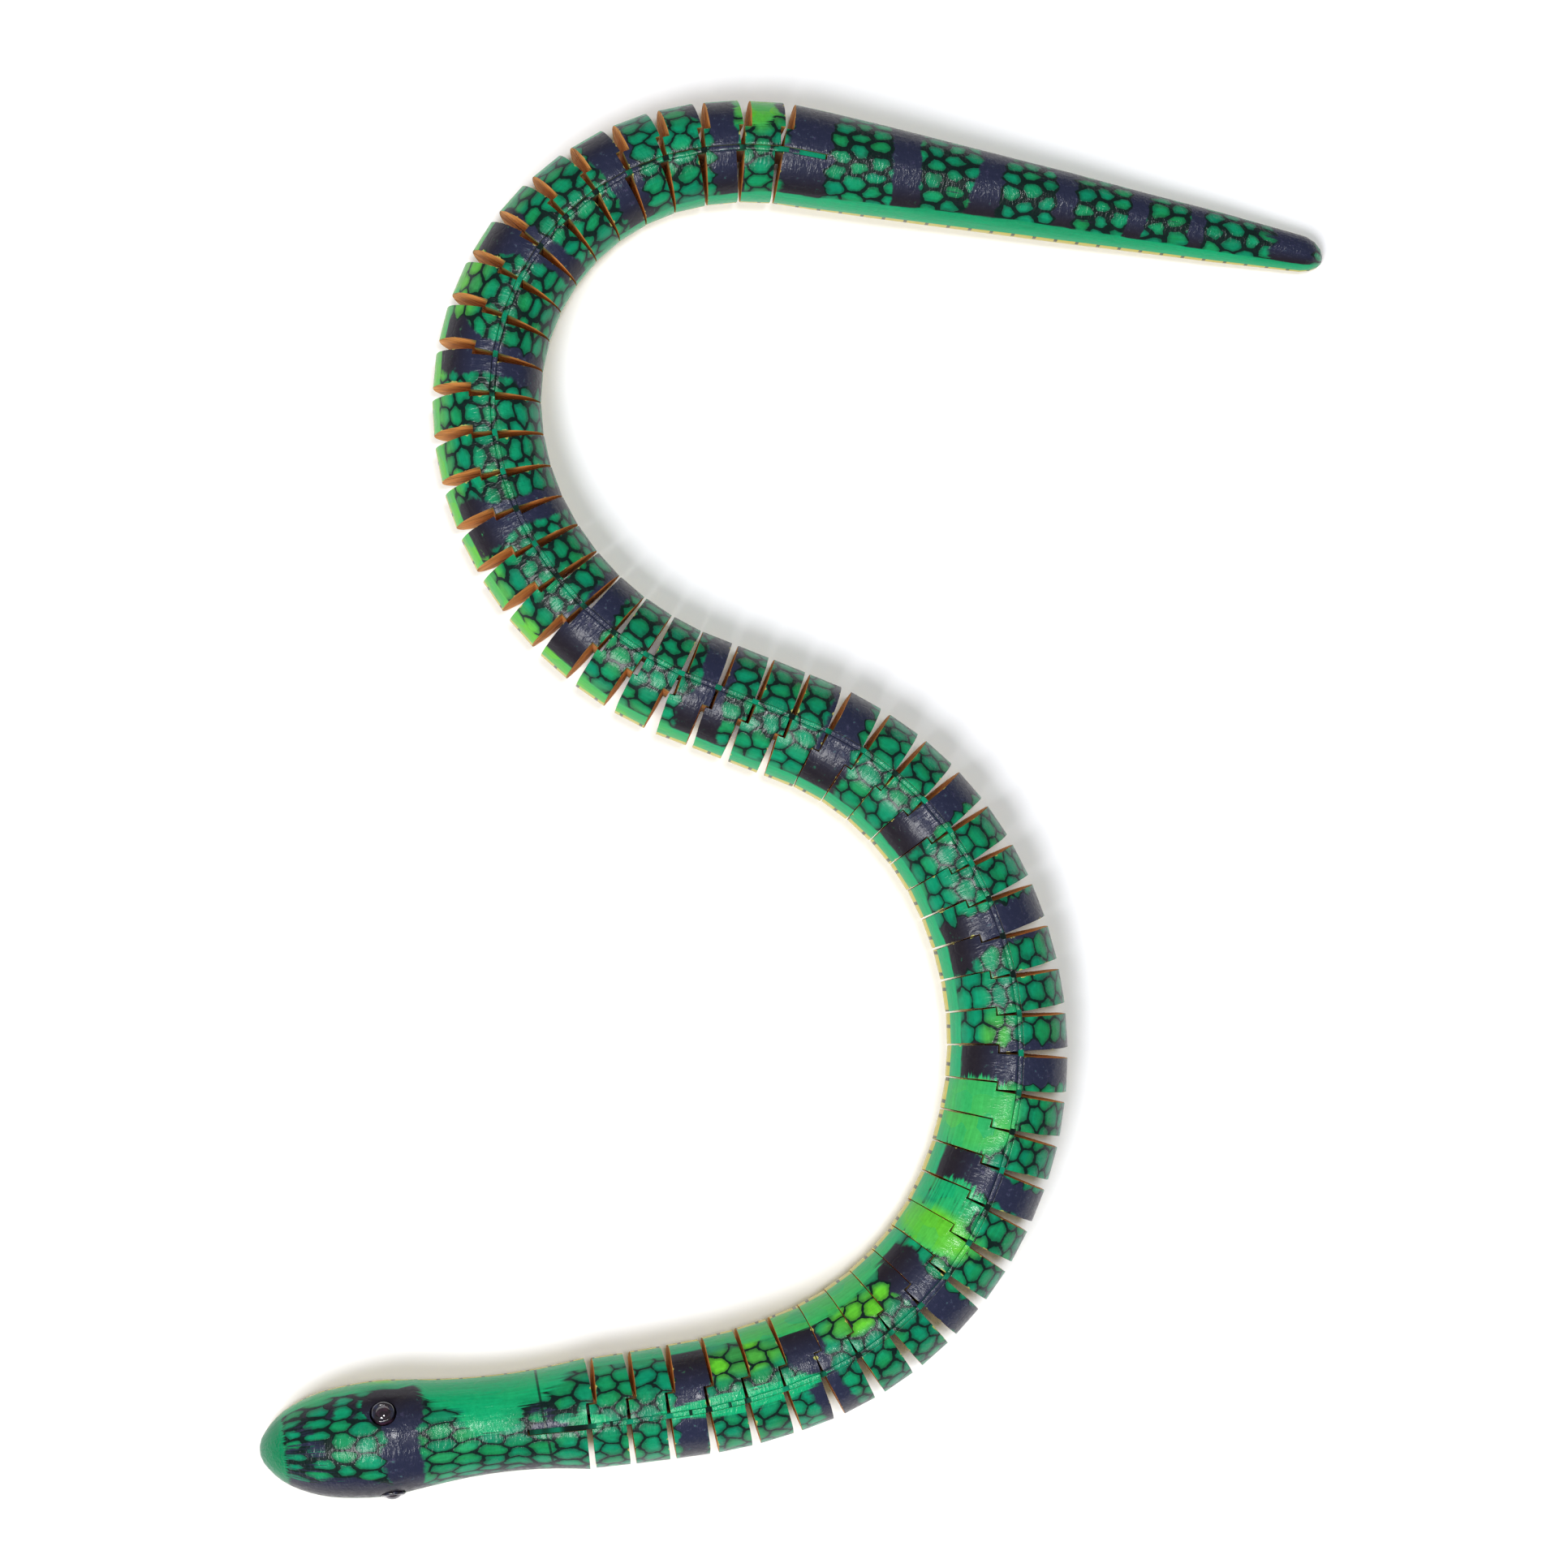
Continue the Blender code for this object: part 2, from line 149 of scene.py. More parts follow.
def read_off(table, value):
    """Straight-line reading of a table of pairs, held at its ends."""
    if value <= table[0][0]:
        return table[0][1]
    for low, high in zip(table, table[1:]):
        if value <= high[0]:
            return low[1] + (value - low[0]) / (high[0] - low[0]) * (high[1] - low[1])
    return table[-1][1]


def rod_radius(along):
    """Radius of the jointed rod at a distance behind the first kerf."""
    return read_off(BODY_RADII, along / ROD_LENGTH)


def straightened(index):
    """Matrix from the snake as it lies to the straight rod, for one piece."""
    if index == 0:
        heading, corner, along = HEAD_HEADING, hinges[0], 0.0
    else:
        corner, along = hinges[index - 1], (index - 1) * PITCH
        heading = TAIL_HEADING
        if index <= SEGMENTS:
            way = hinges[index] - corner
            heading = math.atan2(way.y, way.x)
    place = Matrix.Translation((along, -STRIP_RIGHT, 0.0))
    return place @ Matrix.Rotation(-heading, 4, "Z") @ Matrix.Translation((-corner.x, -corner.y, 0.0))


# ---------------------------------------------------------------------------
# Paint: green brushed on the rod, a net of scales drawn over it by hand, navy
# bands, a yellow belly and a thick clear lacquer. The greens change from scale
# to scale, and the bands keep partly to the scales.

TEAL = (0.000, 0.335, 0.170, 1.0)
GREEN = (0.006, 0.220, 0.060, 1.0)
SPRING_GREEN = (0.110, 0.520, 0.025, 1.0)
PLAIN_GREEN = (0.000, 0.370, 0.145, 1.0)
DEEP_GREEN = (0.002, 0.120, 0.045, 1.0)
NET_DARK = (0.002, 0.012, 0.010, 1.0)
NAVY = (0.018, 0.022, 0.052, 1.0)
# PITCH_BLACK is the pooled paint round the eyes, and also the painted shade on the bands' flanks
PITCH_BLACK = (0.014, 0.010, 0.013, 1.0)
# GLINT_VIOLET is a painted highlight on the bands' crest
GLINT_VIOLET = (0.110, 0.090, 0.200, 1.0)
BELLY_YELLOW = (0.570, 0.470, 0.045, 1.0)
BARE_CREAM = (0.600, 0.400, 0.150, 1.0)

CELL_COLUMN = 0.0034                 # from one column of scales to the next
CELL_ROW = 0.0033                    # from one row to the next, round the rod
HEX_WIDE = math.sqrt(3.0)            # a block of two columns, one row high
MIDDLE_RADIUS = 0.0100
HEAD_SCALES_LONGER = 0.19            # the net is drawn out by this share on the head
NET_SHAKE = 0.80                     # how far the brush strays, in rows of scales
NET_LINE = 0.83                      # reach of a scale, where the dark line round it begins
# (place along, degrees): how far right of the top the painted crest lies there
PAINT_ROLL = ((-0.05, 6.0), (0.0, 8.0), (0.05, 14.0), (0.10, 18.0), (0.20, 18.0), (0.25, 14.0),
              (0.28, 9.0), (0.31, 4.0), (0.34, -4.0), (0.36, -10.0), (0.385, -16.0))

# Angles from the crest at which one paint gives way to the next
# CREST: past these angles the bands go from navy to near black, as painted shade
CREST = (math.radians(22), math.radians(60))
BAND_FLARE = (math.radians(15), math.radians(50))
HEM = (math.radians(66), math.radians(69))
SPRING_SIDE = (math.radians(62), math.radians(112))
BELLY = (math.radians(93), math.radians(95))
DASH_END = (math.radians(106), math.radians(110))
BELLY_DASH = 0.00385                 # from one dash to the next
GLUE_LINE = -0.0075                  # the joint between the carved head and the rod


def new_finish(name):
    """A material, its node tree and its shader."""
    finish = bpy.data.materials.new(name)
    finish.use_nodes = True
    return finish, finish.node_tree, finish.node_tree.nodes["Principled BSDF"]


def add_node(tree, kind, sources, output=0, **settings):
    """New shader node; sources maps a socket to a value or to another node's output."""
    made = tree.nodes.new("ShaderNode" + kind)
    for key, value in settings.items():
        setattr(made, key, value)
    for socket, source in sources.items():
        if isinstance(source, bpy.types.NodeSocket):
            tree.links.new(source, made.inputs[socket])
        else:
            made.inputs[socket].default_value = source
    return made.outputs[output]


def reckon(tree, operation, *values, clamp=False):
    """A sum on numbers."""
    return add_node(tree, "Math", dict(enumerate(values)), operation=operation, use_clamp=clamp)


def reckon_vector(tree, operation, *values, output=0):
    """A sum on vectors."""
    return add_node(tree, "VectorMath", dict(enumerate(values)), output, operation=operation)


def step_between(tree, value, low, high, at_low=0.0, at_high=1.0):
    """Soft step from at_low to at_high as value goes from low to high."""
    sources = {0: value, 1: low, 2: high, 3: at_low, 4: at_high}
    return add_node(tree, "MapRange", sources, interpolation_type="SMOOTHSTEP")


def mix_colour(tree, share, under, over, blend_type="MIX"):
    return add_node(tree, "Mix", {0: share, 6: under, 7: over}, 2, data_type="RGBA",
                    blend_type=blend_type)


def darken(tree, share, colour, value):
    """The colour, multiplied by a grey of that brightness."""
    grey = add_node(tree, "CombineColor", {0: value, 1: value, 2: value})
    return mix_colour(tree, share, colour, grey, "MULTIPLY")


def grain(tree, place, scale, detail=2.0, roughness=0.5):
    """Cloudy noise from 0 to 1 at a place."""
    return add_node(tree, "TexNoise", {"Vector": place, "Scale": scale, "Detail": detail,
                                       "Roughness": roughness})


def shaken(tree, value, cloud, amount):
    """The value, moved either way by a cloudy noise."""
    return reckon(tree, "MULTIPLY_ADD", reckon(tree, "SUBTRACT", cloud, 0.5), amount, value)


def attribute(tree, name, output):
    return add_node(tree, "Attribute", {}, output, attribute_name=name)


def parts_of(tree, vector):
    """The three numbers of a vector."""
    return add_node(tree, "SeparateXYZ", {0: vector}).node.outputs


def stretched(tree, along, around, along_scale, around_scale, layer=0.0):
    """A place on the skin, scaled along and around."""
    return add_node(tree, "CombineXYZ", {0: reckon(tree, "MULTIPLY", along, along_scale),
                                         1: reckon(tree, "MULTIPLY", around, around_scale),
                                         2: layer})


def read_skin(tree):
    """A point's place on the skin, what the plan of the paint says there, and its brush marks."""
    skin = SimpleNamespace()
    rod = parts_of(tree, attribute(tree, "rod", 1))
    skin.along, skin.left = rod[0], rod[1]
    skin.roll = attribute(tree, "roll", 2)
    skin.angle = reckon(tree, "ADD", reckon(tree, "ARCTAN2", rod[1], rod[2]), skin.roll)
    skin.turned = reckon(tree, "ABSOLUTE", skin.angle)
    plan = parts_of(tree, attribute(tree, "plan", 1))
    skin.brushed, skin.spring, skin.dark = plan[0], plan[1], plan[2]
    skin.phase = attribute(tree, "band", 2)
    skin.edge = attribute(tree, "edge", 2)
    skin.rows = attribute(tree, "rows", 2)
    skin.streak = grain(tree, stretched(tree, skin.along, skin.angle, 110.0, 22.0), 1.0, 4.0, 0.65)
    skin.patchy = grain(tree, stretched(tree, skin.along, skin.angle, 120.0, 1.6, 3.0), 1.0, 3.0)
    skin.mottle = grain(tree, stretched(tree, skin.along, skin.angle, 900.0, 9.0, 7.0), 1.0, 4.0, 0.7)
    skin.streaky = reckon(tree, "MULTIPLY", reckon(tree, "SUBTRACT", skin.streak, 0.5), 1.1)
    return skin


def draw_cells(tree, skin):
    """Six-sided scales, shaken a little as by a hand-held brush, with a chance number each."""
    net_along = reckon(tree, "MULTIPLY_ADD", reckon(tree, "MINIMUM", skin.along, 0.0),
                       -HEAD_SCALES_LONGER, skin.along)
    place = stretched(tree, net_along, reckon(tree, "MULTIPLY", skin.angle, skin.rows),
                      HEX_WIDE / 2.0 / CELL_COLUMN, MIDDLE_RADIUS / CELL_ROW)
    shake = add_node(tree, "TexNoise", {"Vector": place, "Scale": 0.85, "Detail": 1.0}, 1)
    shake = reckon_vector(tree, "SUBTRACT", shake, (0.5, 0.5, 0.5))
    shake = add_node(tree, "VectorMath", {0: shake, 3: NET_SHAKE}, operation="SCALE")
    drawn = reckon_vector(tree, "ADD", place, shake)

    # Every second column stands half a scale lower, so the nearer middle of two sets counts
    block = (HEX_WIDE / 2.0, 0.5, 1.0)
    low_block = tuple(-size for size in block)
    from_even = reckon_vector(tree, "WRAP", drawn, block, low_block)
    shifted = reckon_vector(tree, "SUBTRACT", drawn, (HEX_WIDE / 2.0, 0.5, 0.0))
    from_odd = reckon_vector(tree, "WRAP", shifted, block, low_block)
    even_far = reckon_vector(tree, "LENGTH", from_even, output=1)
    odd_far = reckon_vector(tree, "LENGTH", from_odd, output=1)
    odd_nearer = reckon(tree, "LESS_THAN", odd_far, even_far)
    inside = add_node(tree, "Mix", {0: odd_nearer, 4: from_even, 5: from_odd}, 1, data_type="VECTOR")

    # A scale's reach is between a hexagon's and a circle's
    size = parts_of(tree, reckon_vector(tree, "ABSOLUTE", inside))
    lean = reckon(tree, "MULTIPLY", size[0], HEX_WIDE / 2.0)
    lean = reckon(tree, "MULTIPLY_ADD", size[1], 0.5, lean)
    flat = reckon(tree, "MAXIMUM", size[1], lean)
    corner = reckon_vector(tree, "LENGTH", inside, output=1)
    reach = reckon(tree, "ADD", reckon(tree, "MULTIPLY", flat, 1.36),
                   reckon(tree, "MULTIPLY", corner, 0.52))
    skin.ragged = grain(tree, place, 5.0)
    skin.reach = shaken(tree, reach, skin.ragged, 0.22)
    skin.ahead = parts_of(tree, inside)[0]
    middle = reckon_vector(tree, "SUBTRACT", drawn, inside)
    skin.chance = add_node(tree, "TexWhiteNoise", {0: middle}, noise_dimensions="3D")


def mix_greens(tree, skin):
    """Green under-paint, brushed plain over the net on the flanks and in patches."""
    hue = reckon(tree, "MULTIPLY_ADD", skin.chance, 0.35, reckon(tree, "MULTIPLY", skin.patchy, 0.9))
    ground = mix_colour(tree, step_between(tree, hue, 0.35, 1.0), TEAL, GREEN)
    low_left = step_between(tree, skin.angle, *SPRING_SIDE)
    springy = reckon(tree, "MULTIPLY_ADD", low_left, 0.12, skin.spring)
    by_chance = reckon(tree, "MULTIPLY_ADD", skin.chance, 0.8, 0.55)
    springy = reckon(tree, "MULTIPLY", springy, by_chance, clamp=True)
    ground = mix_colour(tree, springy, ground, SPRING_GREEN)
    brushing = step_between(tree, reckon(tree, "ADD", skin.brushed, skin.streaky), 0.42, 0.62)
    hem_angle = shaken(tree, skin.turned, skin.patchy, 0.16)
    hem_angle = reckon(tree, "MULTIPLY_ADD", skin.streaky, 0.05, hem_angle)
    hem_angle = reckon(tree, "MULTIPLY_ADD", skin.roll, -0.36, hem_angle)
    skin.plain = reckon(tree, "MAXIMUM", brushing, step_between(tree, hem_angle, *HEM))
    plain_coat = mix_colour(tree, springy, PLAIN_GREEN, SPRING_GREEN)
    plain_coat = mix_colour(tree, reckon(tree, "MULTIPLY", skin.dark, 0.9), plain_coat, DEEP_GREEN)
    ground = mix_colour(tree, skin.plain, ground, plain_coat)
    shade = reckon(tree, "MULTIPLY_ADD", skin.mottle, 0.45, 0.42)
    shade = reckon(tree, "MULTIPLY_ADD", skin.streak, 0.55, shade)
    cell_shade = reckon(tree, "MULTIPLY_ADD", skin.chance, 0.45, 0.68)
    cell_shade = add_node(tree, "Mix", {0: skin.plain, 2: cell_shade, 3: 1.0})
    skin.shade = reckon(tree, "MULTIPLY", shade, cell_shade)
    return darken(tree, 1.0, ground, skin.shade)


def draw_net(tree, skin, colour):
    """Dark lines between the scales, left out where green was brushed over them."""
    line = reckon(tree, "MULTIPLY_ADD", skin.dark, -0.32, NET_LINE)
    line = shaken(tree, line, skin.patchy, -0.20)
    past = reckon(tree, "SUBTRACT", skin.reach, line)
    skin.net = step_between(tree, past, -0.03, 0.035)
    soft_net = reckon(tree, "MAXIMUM", skin.net, step_between(tree, past, -0.42, 0.0, 0.0, 0.52))
    skin.covered = reckon(tree, "SUBTRACT", 1.0, skin.plain)
    return mix_colour(tree, reckon(tree, "MULTIPLY", soft_net, skin.covered), colour, NET_DARK)


def draw_bands(tree, skin, colour):
    """Navy bands, each with its own slant, wider on the left flank, blotted and worn through; painted
    shade turns them near black on the flanks and painted highlights fleck their crest.
    """
    number = reckon(tree, "ROUND", skin.phase)
    lot = add_node(tree, "TexWhiteNoise", {1: number}, noise_dimensions="1D")
    slant = reckon(tree, "MULTIPLY", reckon(tree, "MULTIPLY_ADD", lot, 0.14, -0.07), skin.angle)
    kept = reckon(tree, "MULTIPLY_ADD", skin.ahead, -0.085, reckon(tree, "ADD", skin.phase, slant))
    near = reckon(tree, "ABSOLUTE", reckon(tree, "SUBTRACT", kept, reckon(tree, "ROUND", kept)))
    near = shaken(tree, near, skin.patchy, 0.10)
    near = shaken(tree, near, skin.ragged, 0.03)
    wide = step_between(tree, skin.angle, *BAND_FLARE, 0.150, 0.205)
    band = step_between(tree, reckon(tree, "SUBTRACT", near, wide), -0.012, 0.012, 1.0, 0.0)
    smear = reckon(tree, "MULTIPLY_ADD", skin.patchy, 0.5, reckon(tree, "MULTIPLY", skin.streak, 0.5))
    blot = step_between(tree, reckon(tree, "MULTIPLY_ADD", skin.dark, 0.9, smear), 1.02, 1.10)
    band = reckon(tree, "MAXIMUM", band, blot)
    worn_through = step_between(tree, skin.mottle, 0.60, 0.74, 1.0, 0.45)
    band = reckon(tree, "MULTIPLY", reckon(tree, "MULTIPLY", band, skin.covered), worn_through)
    # Painted shade: the bands stay navy on the crest and go near black down the flanks
    crest = step_between(tree, skin.turned, *CREST, 1.0, 0.0)
    band_painted_shade = mix_colour(tree, reckon(tree, "MULTIPLY_ADD", crest, 0.85, 0.10), PITCH_BLACK, NAVY)
    # Painted highlights: violet flecks in the bands, only along the crest
    glints = reckon(tree, "MULTIPLY", step_between(tree, skin.mottle, 0.56, 0.72),
                    reckon(tree, "MULTIPLY", crest, 0.6))
    return mix_colour(tree, band, colour, mix_colour(tree, glints, band_painted_shade, GLINT_VIOLET))


def draw_glue_line(tree, skin, colour):
    """A fine dark joint where the carved head was glued to the rod."""
    from_line = reckon(tree, "ADD", skin.along, -GLUE_LINE)
    from_line = reckon(tree, "MULTIPLY_ADD", skin.left, 0.0008, from_line)
    glued = step_between(tree, reckon(tree, "ABSOLUTE", from_line), 0.00012, 0.00032, 0.85, 0.0)
    return mix_colour(tree, glued, colour, NET_DARK)


def paint_belly(tree, skin, colour):
    """Yellow belly with a row of short dashes along each edge."""
    edge_angle = reckon(tree, "MULTIPLY_ADD", skin.streaky, 0.03, skin.turned)
    pace = reckon(tree, "FRACT", reckon(tree, "MULTIPLY", skin.along, 1.0 / BELLY_DASH))
    off_dash = reckon(tree, "ABSOLUTE", reckon(tree, "SUBTRACT", pace, 0.5))
    dash = reckon(tree, "MULTIPLY", step_between(tree, off_dash, 0.06, 0.10, 1.0, 0.0),
                  step_between(tree, skin.turned, *DASH_END, 1.0, 0.0))
    yellow = mix_colour(tree, reckon(tree, "MULTIPLY", dash, 0.9), BELLY_YELLOW, NET_DARK)
    yellow = darken(tree, 0.6, yellow, skin.shade)
    return mix_colour(tree, step_between(tree, edge_angle, *BELLY), colour, yellow)


def rub_edges(tree, skin, colour):
    """Rims of the cuts, chipped and rubbed down to bare wood."""
    chipped = grain(tree, stretched(tree, skin.along, skin.angle, 260.0, 5.0, 11.0), 1.0, 3.0, 0.6)
    chip_depth = step_between(tree, chipped, 0.50, 0.80, -0.00012, 0.00042)
    past_chip = reckon(tree, "SUBTRACT", skin.edge, chip_depth)
    skin.wear = step_between(tree, past_chip, -0.00006, 0.00006, 1.0, 0.0)
    cream = mix_colour(tree, reckon(tree, "MULTIPLY", skin.streak, 0.6), BARE_CREAM, SPRING_GREEN)
    return mix_colour(tree, reckon(tree, "MULTIPLY", skin.wear, 0.85), colour, cream)


def lacquer(tree, skin, shader):
    """Clear coat: brush marks run along, and fine scratches run across the crest."""
    scratch = grain(tree, stretched(tree, skin.along, skin.angle, 1500.0, 4.5, 19.0), 1.0, 2.0, 0.6)
    scratch = reckon(tree, "MULTIPLY", step_between(tree, scratch, 0.42, 0.66),
                     step_between(tree, skin.turned, 0.35, 0.9, 1.0, 0.25))
    relief = reckon(tree, "MULTIPLY_ADD", skin.streak, 0.40, reckon(tree, "MULTIPLY", scratch, 0.75))
    relief = reckon(tree, "MULTIPLY_ADD", skin.net, -0.20, relief)
    bump = add_node(tree, "Bump", {"Strength": 0.55, "Distance": 0.00012, "Height": relief})
    tree.links.new(bump, shader.inputs["Normal"])
    tree.links.new(bump, shader.inputs["Coat Normal"])
    dull = step_between(tree, skin.mottle, 0.35, 0.70, 0.30, 0.52)
    tree.links.new(reckon(tree, "MULTIPLY_ADD", skin.wear, 0.30, dull), shader.inputs["Roughness"])
    shader.inputs["Coat Weight"].default_value = 0.24
    shader.inputs["Coat Roughness"].default_value = 0.12
    shader.inputs["Specular IOR Level"].default_value = 0.14


def mix_paint():
    paint, tree, shader = new_finish("lacquered_scale_paint")
    skin = read_skin(tree)
    draw_cells(tree, skin)
    colour = mix_greens(tree, skin)
    for coat in (draw_net, draw_bands, draw_glue_line, paint_belly, rub_edges):
        colour = coat(tree, skin, colour)
    tree.links.new(colour, shader.inputs["Base Color"])
    lacquer(tree, skin, shader)
    return paint


scale_paint = mix_paint()

# ---------------------------------------------------------------------------
# Raw wood in the saw cuts: orange-brown, with the blade's marks across the cut
# and a stain where the paint and lacquer ran in over the edge.

WOOD_ORANGE = (0.780, 0.360, 0.085, 1.0)
WOOD_PALE = (0.900, 0.560, 0.220, 1.0)
WOOD_BROWN = (0.240, 0.085, 0.025, 1.0)


def mix_raw_wood():
    wood, tree, shader = new_finish("sawn_wood")
    place = attribute(tree, "rod", 1)
    rod = parts_of(tree, place)
    along, left, up = rod[0], rod[1], rod[2]
    sway = grain(tree, place, 2.2, 1.0)
    saw_place = stretched(tree, left, reckon(tree, "MULTIPLY_ADD", sway, 0.25, up), 1.4, 15.0,
                          reckon(tree, "MULTIPLY", along, 90.0))
    blade = grain(tree, saw_place, 1.0, 3.0, 0.7)
    ring_place = stretched(tree, left, up, 2.5, 3.5, reckon(tree, "MULTIPLY", along, 30.0))
    rings = grain(tree, ring_place, 1.0, 2.0)
    colour = mix_colour(tree, step_between(tree, blade, 0.30, 0.52), WOOD_BROWN, WOOD_ORANGE)
    colour = mix_colour(tree, step_between(tree, blade, 0.56, 0.74), colour, WOOD_PALE)
    colour = mix_colour(tree, step_between(tree, rings, 0.30, 0.75, 0.0, 0.45), colour, WOOD_BROWN)
    out = reckon_vector(tree, "LENGTH", add_node(tree, "CombineXYZ", {0: left, 1: up}), output=1)
    rim_stain = step_between(tree, shaken(tree, out, rings, 0.12), 0.975, 1.01, 0.0, 0.60)
    by_web = step_between(tree, reckon(tree, "ABSOLUTE", left), 0.28, 0.42, 0.70, 0.0)
    web_stain = reckon(tree, "MULTIPLY", by_web, step_between(tree, out, 0.6, 0.9))
    stain = reckon(tree, "MAXIMUM", rim_stain, web_stain)
    colour = mix_colour(tree, stain, colour, mix_colour(tree, sway, NET_DARK, GREEN))
    tree.links.new(colour, shader.inputs["Base Color"])
    bump = add_node(tree, "Bump", {"Strength": 0.7, "Distance": 0.00015, "Height": blade})
    tree.links.new(bump, shader.inputs["Normal"])
    tree.links.new(step_between(tree, blade, 0.3, 0.7, 0.85, 0.60), shader.inputs["Roughness"])
    shader.inputs["Specular IOR Level"].default_value = 0.3
    return wood


raw_wood = mix_raw_wood()

# ---------------------------------------------------------------------------
# Plan of the paint: where the bands lie along the rod, and where green was
# brushed plain, ran yellow or stayed dark. Angles run left from the top.

# (middle of each dark band, half its width), in metres behind the first kerf
BANDS = ((-0.0318, 0.0026), (0.0177, 0.0027), (0.0405, 0.0030), (0.0640, 0.0030), (0.0849, 0.0027),
         (0.1067, 0.0032), (0.1310, 0.0030), (0.1538, 0.0027), (0.1744, 0.0030), (0.1979, 0.0028),
         (0.2222, 0.0027), (0.2442, 0.0028), (0.2713, 0.0030), (0.2920, 0.0028), (0.3115, 0.0027),
         (0.3302, 0.0026), (0.3443, 0.0040), (0.3620, 0.0022), (0.3770, 0.0025), (0.3906, 0.0018),
         (0.4041, 0.0016), (0.4151, 0.0011), (0.4330, 0.0040))
KNOT_REACH = 1.6                     # half widths from a band's middle at which its knots stand
KNOT_COUNT = 0.24                    # how far the count has gone from the band's number there
# (middle and half length along, middle and half angle in degrees, brushed, spring, dark)
PATCHES = (
    (-0.0160, 0.0130, 72, 42, 1.0, 0.05, 0.0),
    (-0.0165, 0.0050, 24, 22, 1.0, 0.0, 0.0),
    (-0.0080, 0.0050, 20, 22, 0.0, 0.0, 0.60),
    (-0.0060, 0.0040, 4, 6, 0.0, 0.0, 1.0),
    (-0.0005, 0.0045, 9, 6, 0.95, 0.0, 0.0),
    (-0.0485, 0.0050, -4, 66, 0.0, 0.0, 0.58),
    (-0.0560, 0.0042, 0, 180, 1.0, 0.0, 0.75),
    (-0.0430, 0.0125, -62, 34, 0.0, 0.0, 1.0),
    (-0.0345, 0.0045, 50, 22, 0.0, 0.0, 1.0),
    (-0.0350, 0.0022, 94, 9, 0.8, 1.0, 0.0),
    (-0.0120, 0.0140, -66, 24, 0.0, 0.0, 0.66),
    (-0.0470, 0.0095, 92, 24, 1.0, 0.15, 0.15),
    (-0.0430, 0.0050, -34, 26, 0.0, 0.0, 0.50),
    (-0.0250, 0.0050, 0, 40, 0.0, 0.1, 0.0),
    (0.0270, 0.0160, 6, 12, 0.75, 0.0, 0.0),
    (0.0440, 0.0190, 76, 22, 0.75, 0.35, 0.0),
    (0.0737, 0.0040, 50, 46, 1.0, 0.8, 0.0),
    (0.0810, 0.0040, 44, 34, 0.62, 0.1, 0.0),
    (0.0970, 0.0075, 52, 44, 0.95, 0.40, 0.0),
    (0.0270, 0.0090, 48, 16, 0.0, 0.9, 0.0),
    (0.0520, 0.0080, 42, 16, 0.0, 0.9, 0.0),
    (0.1120, 0.0040, 36, 14, 0.0, 0.4, 0.0),
    (0.2500, 0.0460, 92, 34, 0.0, 0.75, 0.0),
    (0.2840, 0.0120, 60, 24, 0.0, 0.7, 0.0),
    (0.3360, 0.0034, 56, 44, 0.8, 0.85, 0.0),
    (0.2500, 0.0700, -10, 70, 0.0, 0.0, 0.22),
    (0.3850, 0.0420, 0, 76, 0.0, 0.0, 0.48),
    (0.4300, 0.0090, 0, 70, 0.0, 0.0, 0.55),
)
PATCH_END = 1.25                     # a patch fades out at this many half lengths
PATCH_FADE = 0.5


def band_knots():
    """Pairs of place and band count; the count passes each band's number at its middle."""
    knots = []
    for count, (middle, half) in enumerate(BANDS):
        knots.append((middle - KNOT_REACH * half, count - KNOT_COUNT))
        knots.append((middle + KNOT_REACH * half, count + KNOT_COUNT))
    return knots


band_table = band_knots()


def plan_at(along, angle):
    """Brushed, spring-green and dark shares of the paint at a place."""
    shares = [0.0, 0.0, 0.0]
    for middle, half, turn, half_turn, *amounts in PATCHES:
        across = (math.degrees(angle) - turn) / half_turn
        away = math.hypot((along - middle) / half, across)
        cover = min(1.0, max(0.0, (PATCH_END - away) / PATCH_FADE))
        shares = [max(share, cover * amount) for share, amount in zip(shares, amounts)]
    return shares


# ---------------------------------------------------------------------------
# Sawn segments: the painted rod, sawn from the left and from the right as far as
# the strip, so each kerf has a step there. Its rims are rubbed round by handling.

WIDE_CUT = 0.00155                   # on the side where the snake bends in
FINE_CUT = 0.00095                   # on the side where it bends out
LEFT_ROOT_CUT = 0.0006               # a wide left cut narrows to this at the web
TURNOVER = (0.55, 0.62)              # the wide cut changes side here along the rod
WEB_GAP = 0.0006                     # cut through the web, which holds the strip's slot
WEB_LEFT = 0.0027                    # the web ends this far left of the middle
LEFT_STEP = 0.000225                 # the left cut starts this far behind the hinge
LEFT_LEAN = 0.04                     # and leans tailward by this share of its height
EDGE_ROUND = 0.00016
FINE_TURNS = 4                       # strips that round each facet
SAW_WANDER = 0.00010                 # how far a sawn wall strays, in waves of about 5 mm
WANDER_SCALE = 210.0
HAND_SANDING = 0.010                 # largest share of its girth that a piece has lost
SEGMENT_RINGS = (0.36, 0.52, 0.68)   # extra rings of points on a segment, in pitches
DOUBLES = 2e-6
FLAT_FACE = math.radians(0.4)        # triangles that turn less than this are one face
FLOOR = 1e-5
BELLY_HEIGHT = 0.0015                # faces below this that look down are planed belly
SKIN_REACH = 0.80                    # skin lies at least this share of the girth out
SKIN_FACING = 0.45                   # and looks outwards by at least this much
RIM_ANGLE = 0.5                      # a rim worth easing turns by more than this
SAWN_FACING = 0.95                   # an eased face that looks along more than this stays sawn
FAR_FROM_CUTS = 0.01
BRUSHED_OVER = 0.30                  # green brushed over the strip's top edge
FULL_GIRTH = 0.0088                  # wood this thick carries all rows of scales
FEWEST_ROWS = 0.42                   # share of the rows left at the tail's tip
HEAD_ROWS = 1.25                     # finer rows on the head
HEAD_ROWS_END = -0.010


